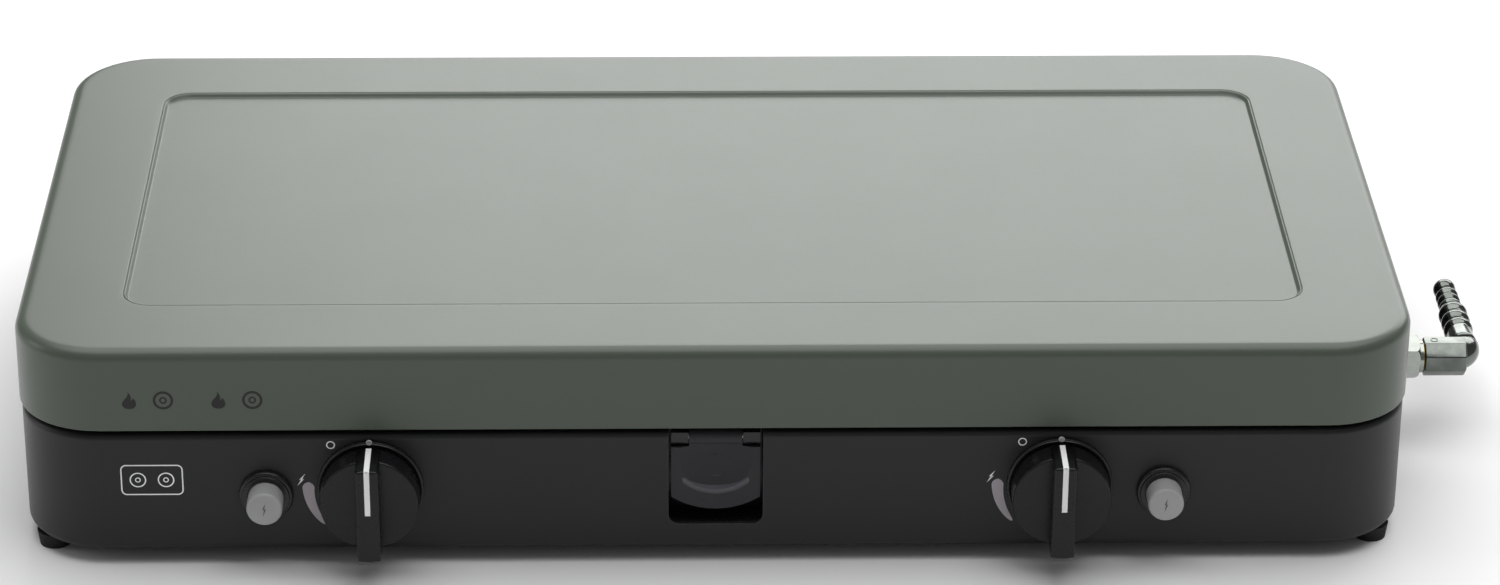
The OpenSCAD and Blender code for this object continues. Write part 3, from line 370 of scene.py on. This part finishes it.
def lid_shell():
    """The pressed lid: its inner face out to the folded hem, then the walls, border and recessed panel."""
    half_w, half_d = (lid_high.x - lid_low.x) / 2 / MM, (lid_high.y - lid_low.y) / 2 / MM
    z0, z1 = lid_low.z / MM, lid_high.z / MM
    corner, edge, sheet, hem = 34.0, 4.5, 1.0, 6.0      # corner and edge radii, thickness, folded rim
    margin, panel_r, depth, slope = 40.0, 11.5, 1.5, 1.8    # border, then the panel's corner, drop and ramp
    groove, groove_half = 0.45, 0.15                    # fine line pressed round the panel
    shoulder, shoulder_drop = 0.35, 0.12                # where the ramp starts
    border_middle, steps = 22.0, 12
    flat = Frame((CENTRE_X, CENTRE_Y, 0), (1, 0, 0), (0, 1, 0), (0, 0, 1))

    def wall(inset, z):
        radius = corner - inset
        return [flat.at(u, v, z) for u, v in rounded(half_w - inset, half_d - inset, radius, steps)]

    def panel(inset, z):
        radius = panel_r + margin - inset
        return [flat.at(u, v, z) for u, v in rounded(half_w - inset, half_d - inset, radius, steps)]

    def rolled(inset, radius, parts):
        """Loops over the rolled edge, from the wall to the top."""
        angles = [math.pi / 2 * k / parts for k in range(parts + 1)]
        return [wall(inset + radius * (1 - math.cos(a)), z1 - edge + radius * math.sin(a)) for a in angles]

    foot = margin + slope
    loops = [panel(foot + 3.0, z1 - depth - sheet), panel(foot + shoulder, z1 - depth - sheet),
             panel(margin, z1 - sheet), wall(border_middle, z1 - sheet)]
    loops += rolled(sheet, edge - sheet, 4)[::-1]
    loops += [wall(sheet, z0 + sheet), wall(hem, z0 + sheet)]
    loops += [wall(inset, z0 + dz) for inset, dz in ((hem, 0), (0.6, 0), (0.18, 0.18), (0, 0.6))]
    loops.append(wall(0, z1 - edge - 3.0))
    loops += rolled(0, edge, 8) + [wall(edge + 1.5, z1), wall(border_middle, z1)]
    for inset, drop in ((-3.0, 0), (-0.5, 0), (-groove_half, 0.06), (0, groove), (groove_half, groove),
                        (shoulder, shoulder_drop)):
        loops.append(panel(margin + inset, z1 - drop))
    for k in range(1, 9):
        drop = shoulder_drop + (depth - shoulder_drop) * (1 - math.cos(math.pi * k / 8)) / 2
        loops.append(panel(margin + shoulder + slope * k / 8, z1 - drop))
    loops += [panel(foot + 3.0, z1 - depth), panel(foot + 6.0, z1 - depth)]
    piece("lid_shell", *bridge(loops), SLOTS["lid_paint"], "lid_assembly", "lid_paint", ("lid",))


# ---------------------------------------------------------------- controls

def bar_outline(half_w, reach, steps=8):
    """A bar whose two ends are arcs about the middle."""
    spread = math.asin(half_w / reach)
    out = []
    for side in (1, -1):
        for k in range(steps + 1):
            a = spread - 2 * spread * k / steps
            out.append((side * reach * math.sin(a), side * reach * math.cos(a)))
    return out


def pointer(f, reach, face):
    """The white line from the rear of the bar's upper end, over its edge and down its face."""
    half, raised, sunk = 1.05, 0.05, 0.2
    route = [(reach, 5.3), (reach, face - 1.2), (reach - 0.1, face - 0.7), (reach - 0.35, face - 0.3),
             (reach - 0.75, face - 0.06), (reach - 1.3, face), (0.8, face)]
    loops = []
    for k, (v, w) in enumerate(route):
        before, after = route[max(k - 1, 0)], route[min(k + 1, len(route) - 1)]
        along = Vector((after[0] - before[0], after[1] - before[1])).normalized()
        top = (v + along.y * raised, w - along.x * raised)
        under = (v - along.y * sunk, w + along.x * sunk)
        loops.append([f.at(-half, *top), f.at(half, *top), f.at(half, *under), f.at(-half, *under)])
    return bridge(loops)


def knob(side):
    """A turned skirt with a finger bar across it, and the pointer line."""
    node = "knob_" + side
    turning = node + "_turning"
    f = on_panel(node)
    low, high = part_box(node)
    rim, reach = (high.x - low.x) / 2 / MM, (high.z - low.z) / 2 / MM
    rear, face = proud(high.y), proud(low.y)
    chamfer, disc, disc_round, disc_flat = 0.4, 14.0, 0.9, 2.2
    bar_root, bar_half_w = 5.0, 4.5
    skirt = [(rear, rim - chamfer), (rear + chamfer, rim)]
    skirt += fillet(disc - disc_round, rim, disc, rim - disc_round) + [(disc, rim - disc_flat)]
    bar = [[f.at(u, v, w) for u, v in bar_outline(bar_half_w - inset, reach - inset)]
           for w, inset in ((bar_root, 0.0), (face - 6.0, 0.0), (face - 0.9, 0.02), (face - 0.45, 0.16),
                            (face - 0.16, 0.45), (face - 0.02, 0.85), (face, 1.2), (face, 1.8))]
    moulding = join([lathe(f, skirt, 96), bridge(bar)])
    piece(node + "_moulding", *moulding, SLOTS["knob_plastic"], turning, "knob_plastic", (node,))
    piece(node + "_pointer", *pointer(f, reach, face), MARK_WHITE, turning, "knob_plastic", smooth=False)


def bezel(side):
    """The ring round the knob: a chamfered outer lip, a fine groove and an inner lip."""
    node = "knob_bezel_" + side
    low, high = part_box(node)
    outer, front = (high.x - low.x) / 2 / MM, proud(low.y)
    inner, bore, seat = 19.5, 6.5, 0.5
    wall = outer - inner
    profile = [(0.0, bore), (0.0, outer), (0.9, outer), (1.35, outer - 0.12 * wall),
               (1.55, outer - 0.32 * wall), (1.42, outer - 0.46 * wall), (1.7, outer - 0.58 * wall),
               (front - 0.2, outer - 0.74 * wall), (front - 0.25, outer - 0.88 * wall), (front - 0.7, inner),
               (seat, inner), (seat, bore)]
    ring = lathe(on_panel("knob_" + side), profile, 96, ring=True)
    piece(node + "_ring", *ring, SLOTS["trim_plastic"], "base", "trim_plastic", (node,))


def index_dot(side):
    """The bright pip at the top of the ring behind the knob."""
    low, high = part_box("knob_bezel_" + side)
    centre = on_panel("knob_" + side).origin
    front, below_top = proud(low.y), 1.4
    pip = facing(centre.x, PANEL_Y, high.z - below_top * MM)
    profile = [(front - 0.3, 1.2), (front, 1.2), (front + 0.1, 1.05), (front + 0.16, 0.8),
               (front + 0.05, 0.6), (front + 0.03, 0.01)]
    piece("index_dot_" + side, *lathe(pip, profile, 32), PIP_GREY, "base", "button_plastic")


def igniter(side):
    """The grey push button with a bolt sign on its face."""
    node = "igniter_button_" + side
    low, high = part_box(node)
    f = on_panel(node)
    radius, chamfer, edge, dish = 6.9, 0.3, 1.1, 0.05
    rear, face = proud(high.y), proud(low.y)
    profile = [(rear, radius - chamfer), (rear + chamfer, radius)]
    profile += fillet(face - edge, radius, face, radius - edge, 7)
    profile += [(face, radius - 2.2), (face - dish, radius - 2.5)]
    body = "button_" + side
    piece(node + "_cap", *lathe(f, profile, 72), SLOTS["button_plastic"], body, "button_plastic", (node,))
    bolt = prism(f, bolt_outline(0.0, 0.0, 2.6, 5.6), face - 0.1, face + 0.03)
    piece(node + "_bolt", *bolt, MARK_GREY, body, "button_plastic", smooth=False)


# ---------------------------------------------------------------- printed marks

PRINT = (-0.05, 0.035)      # a printed mark's back and front, measured from its surface
LID_PRINT = (-0.05, 0.03)


def bolt_outline(u, v, width, height, lean=0.0):
    """A small lightning bolt."""
    shape = ((0.28, 1.0), (-0.55, 0.02), (-0.08, 0.10), (-0.38, -1.0), (0.55, 0.16), (0.08, 0.06))
    return [(u + (x + lean * y) * width / 2, v + y * height / 2) for x, y in shape]


def flame_outline(u, v, height):
    """A flame with a smaller tongue on its right."""
    shape = ((0.0, -0.50), (0.20, -0.47), (0.34, -0.34), (0.37, -0.16), (0.31, 0.02), (0.20, 0.14),
             (0.17, 0.04), (0.10, -0.02), (0.12, 0.16), (0.07, 0.33), (-0.05, 0.50), (-0.04, 0.34),
             (-0.12, 0.18), (-0.25, 0.04), (-0.35, -0.12), (-0.36, -0.28), (-0.28, -0.41), (-0.14, -0.48))
    return [(u + x * height, v + y * height) for x, y in shape]


def outline_ring(f, u, v, half_u, half_v, corner, line, back, front):
    """A rounded rectangle drawn as a line."""
    loops = []
    for grow, w in ((0, back), (0, front), (-line, front), (-line, back)):
        loops.append([f.at(u + x, v + y, w) for x, y in rounded(half_u, half_v, corner, 6, grow)])
    return bridge(loops, ring=True)


def flame_sweep(f):
    """The band round the knob that tapers from high flame to low."""
    radius, start, span, steps = 24.0, 174.0, 48.1, 28
    half_width, tip = 2.35, 0.1
    back, front = PRINT
    loops = []
    for k in range(steps + 1):
        t = k / steps
        a = math.radians(start + span * t)
        half = half_width * math.sqrt(1 - t) * min(1.0, math.sqrt(t * 10)) + tip
        loops.append([f.polar(r, a, w) for r, w in ((radius + half, front), (radius - half, front),
                                                    (radius - half, back), (radius + half, back))])
    return bridge(loops)


def control_marks(side):
    """Printed by the knob: an open ring for off, a bolt for the spark and the flame sweep."""
    f = on_panel("knob_" + side)
    off_u, off_v, spark_u, spark_v, lean = -14.9, 18.7, -26.6, 3.5, 0.62
    signs = join([annulus(f, off_u, off_v, 1.25, 1.7, *PRINT),
                  prism(f, bolt_outline(spark_u, spark_v, 3.4, 5.4, lean), *PRINT)])
    piece("marks_" + side, *signs, MARK_WHITE, "base", "knob_plastic", smooth=False)
    piece("sweep_" + side, *flame_sweep(f), MARK_MAUVE, "base", "knob_plastic", smooth=False)


def lid_marks():
    """A spaced row of plain stove symbols: a flame by each of two burner rings."""
    f = facing(CENTRE_X, lid_low.y, lid_low.z)
    v, flame_height, ring_offset = 13.5, 7.4, 13.0
    parts = []
    for u in (-224.0, -190.0):
        parts.append(prism(f, flame_outline(u, v, flame_height), *LID_PRINT))
        parts.append(annulus(f, u + ring_offset, v, 2.9, 3.9, *LID_PRINT))
        parts.append(annulus(f, u + ring_offset, v, 0.8, 1.5, *LID_PRINT, sides=24))
    piece("lid_marks", *join(parts), MARK_BLACK, "lid_assembly", "knob_plastic", smooth=False)


def base_marks():
    """A small plan of the stove with its two burners."""
    f = facing(CENTRE_X, PANEL_Y, 0)
    u, v, burner_offset = -217.0, 37.5, 5.4
    parts = [outline_ring(f, u, v, 12.0, 6.6, 2.2, 0.5, *PRINT)]
    for burner_u in (u - burner_offset, u + burner_offset):
        parts.append(annulus(f, burner_u, v, 2.7, 3.2, *PRINT))
        parts.append(annulus(f, burner_u, v, 0.7, 1.1, *PRINT, sides=20))
    piece("base_marks", *join(parts), MARK_WHITE, "base", "knob_plastic", smooth=False)


# ---------------------------------------------------------------- latch

def latch_ridge():
    """The rim of the flap's scoop: a concave rise to a soft edge, sinking into the flap at both ends."""
    low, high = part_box("latch_flap")
    f = facing((low.x + high.x) / 2, low.y, 0)
    centre_v, rim, steps = low.z / MM + 26.1, 17.4, 56
    start, span, sunk = -147.0, 114.0, 0.9
    section = ((-5.0, -1.80), (-3.4, -1.55), (-2.0, -1.05), (-1.0, -0.45), (-0.35, 0.12), (0.0, 0.34),
               (0.35, 0.40), (0.9, 0.34), (2.2, 0.02), (2.2, -0.6), (-5.0, -2.4))
    loops = []
    for k in range(steps + 1):
        t = k / steps
        a = math.radians(start + span * t)
        fade = min(1.0, math.sin(math.pi * t) * 2.2)
        loops.append([f.at((rim + r) * math.cos(a), centre_v + (rim + r) * math.sin(a),
                           min(w, w * fade - sunk * (1 - fade))) for r, w in section])
    # The rim's lighter material is painted highlight on its upward face and edge.
    piece("latch_ridge", *bridge(loops), RIM_GREY_PAINTED_HIGHLIGHT, "latch", "latch_plastic")


# ---------------------------------------------------------------- hose fitting

def octagon(f, flats, shrink, w):
    """An octagon across its flats, drawn in by shrink, with a small flat on each corner."""
    corner = flats / 2 / math.cos(math.radians(22.5)) - shrink
    points = []
    for k in range(8):
        a, b = math.radians(22.5 + 45 * k), math.radians(67.5 + 45 * k)
        for t in (0.06, 0.94):
            points.append(f.at(corner * (math.cos(a) * (1 - t) + math.cos(b) * t),
                               corner * (math.sin(a) * (1 - t) + math.sin(b) * t), w))
    return points


def elbow_block(f, start, flats):
    """The octagonal body, chamfered at both ends, and the ring stamped into its upper flat."""
    length, stamp_from_start = 17.4, 4.4
    ends = ((0.0, 1.2), (0.2, 0.6), (0.7, 0.0), (length - 0.7, 0.0), (length - 0.2, 0.5), (length, 1.2))
    block = bridge([octagon(f, flats, shrink, start + w) for w, shrink in ends])
    upper = Frame(f.at(0, flats / 2, start + stamp_from_start), (1, 0, 0), (0, 1, 0), (0, 0, 1))
    return [block, annulus(upper, 0, 0, 1.15, 1.6, -0.05, 0.12, 28)]


def elbow_bend(f, reach, bend_r, tube_r):
    """A quarter turn from the body's axis to the tail's."""
    loops = []
    for k in range(13):
        a = math.pi / 2 * k / 12
        along, aside = reach - bend_r + bend_r * math.sin(a), bend_r - bend_r * math.cos(a)
        ring = []
        for j in range(32):
            b = math.tau * j / 32
            out = tube_r * math.cos(b)
            ring.append(f.at(aside - out * math.cos(a), tube_r * math.sin(b), along + out * math.sin(a)))
        loops.append(ring)
    return bridge(loops)


def hose_tail(f, start):
    """A thick neck, two runs of three bulging barbs and a ball end with the gas bore."""
    profile = [(start, 5.98), (11.0, 5.6), (19.0, 5.2)]
    barb = ((0.0, 0.0), (0.10, 0.45), (0.20, 0.82), (0.30, 0.98), (0.40, 1.0), (0.52, 0.88),
            (0.66, 0.58), (0.80, 0.28), (0.92, 0.08))
    for first, pitch, crest, core in ((20.0, 7.0, 5.98, 4.9), (41.0, 5.04, 4.75, 3.75)):
        for k in range(3):
            profile += [(first + pitch * (k + t), core + (crest - core) * share) for t, share in barb]
    profile.append((57.0, 3.75))
    ball_w, ball_r, bore_r, bore_end = 60.25, 4.7, 2.5, 60.0
    for k in range(8):
        a = math.radians(-52 + 142 * k / 8)
        profile.append((ball_w + ball_r * math.sin(a), max(ball_r * math.cos(a), bore_r)))
    profile.append((bore_end, bore_r - 0.1))
    return lathe(f, profile, 48)


def hose_elbow():
    """Octagonal elbow with a smooth bend and a tail of rounded barbs."""
    low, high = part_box("hose_elbow")
    nut_low, nut_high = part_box("inlet_nut")
    gas_y, gas_z = (nut_low.y + nut_high.y) / 2, (nut_low.z + nut_high.z) / 2
    bend_r, tube_r, overlap = 6.3, 6.0, 0.3
    tail_x = high.x - tube_r * MM
    across = Frame((SIDE_X, gas_y, gas_z), (0, 1, 0), (0, 0, 1), (1, 0, 0))
    back = Frame((tail_x, gas_y, gas_z), (1, 0, 0), (0, 0, 1), (0, 1, 0))
    parts = elbow_block(across, (low.x - SIDE_X) / MM, (high.z - low.z) / MM)
    parts.append(elbow_bend(across, (tail_x - SIDE_X) / MM, bend_r, tube_r))
    parts.append(hose_tail(back, bend_r - overlap))
    # The elbow's dark plating colour is painted dark reflection.
    piece("hose_elbow_shell", *join(parts), CHROME_PAINTED_DARK_REFLECTION, "base", "nickel", ("hose_elbow",))


lid_shell()
lid_marks()
base_marks()
latch_ridge()
hose_elbow()
for hand in ("left", "right"):
    knob(hand)
    bezel(hand)
    control_marks(hand)
    index_dot(hand)
    igniter(hand)


# ---------------------------------------------------------------- stage, light and camera, in metres

def stage_floor():
    """A plain pale floor under the stove."""
    bpy.ops.mesh.primitive_plane_add(size=14.0, location=(0, 1.0, 0))
    floor = bpy.context.object
    floor.name = "floor"
    g = Graph("floor_paper")
    g.link(g.mix(g.noise(3.0, 2.0), (0.86, 0.86, 0.86), (0.90, 0.90, 0.90)), g.shader.inputs["Base Color"])
    g.shader.inputs["Roughness"].default_value = 0.9
    g.shader.inputs["Specular IOR Level"].default_value = 0.1
    floor.data.materials.append(g.material)


def softbox(name, where, target, size, power):
    """A rectangular area light at one place that looks at another."""
    data = bpy.data.lights.new(name, "AREA")
    data.shape = "RECTANGLE"
    data.size, data.size_y = size
    data.energy = power
    lamp = bpy.data.objects.new(name, data)
    bpy.context.scene.collection.objects.link(lamp)
    lamp.location = where
    lamp.rotation_euler = (Vector(target) - Vector(where)).to_track_quat("-Z", "Y").to_euler()


def light_scene():
    """A pale surround, a large light overhead, one behind for the lid's sheen and a weak one on the left."""
    world = bpy.data.worlds.new("studio")
    world.use_nodes = True
    background = world.node_tree.nodes["Background"]
    background.inputs["Color"].default_value = (1.0, 1.0, 1.0, 1.0)
    background.inputs["Strength"].default_value = 0.22
    bpy.context.scene.world = world
    softbox("overhead", (0.1, 0.2, 2.2), (0.0, 0.0, 0.0), (3.0, 2.4), 56.0)
    softbox("back", (0.74, 2.2, 1.15), (0.1, 0.0, 0.0), (2.8, 1.3), 45.0)
    softbox("left", (-2.2, 0.1, 0.7), (0.0, 0.0, 0.05), (0.8, 1.0), 5.0)


def make_camera():
    """A long lens in front of the stove and above it, looking down at about 27 degrees."""
    data = bpy.data.cameras.new("camera")
    data.sensor_width = 36.0
    data.lens = 113.90
    data.clip_start, data.clip_end = 0.05, 50.0
    camera = bpy.data.objects.new("camera", data)
    bpy.context.scene.collection.objects.link(camera)
    place = Vector((CENTRE_X - 0.02648, CENTRE_Y - 1.74404, 0.92241))
    yaw, pitch, roll = math.radians(1.40), math.radians(26.64), math.radians(0.39)
    forward = Vector((math.sin(yaw) * math.cos(pitch), math.cos(yaw) * math.cos(pitch), -math.sin(pitch)))
    level = forward.cross(Vector((0, 0, 1))).normalized()
    right = level * math.cos(roll) + level.cross(forward) * math.sin(roll)
    up = right.cross(forward)
    turn = Matrix((right, up, -forward)).transposed()
    camera.matrix_world = Matrix.Translation(place) @ turn.to_4x4()
    bpy.context.scene.camera = camera


stage_floor()
light_scene()
make_camera()
bpy.context.scene.view_settings.view_transform = "Standard"
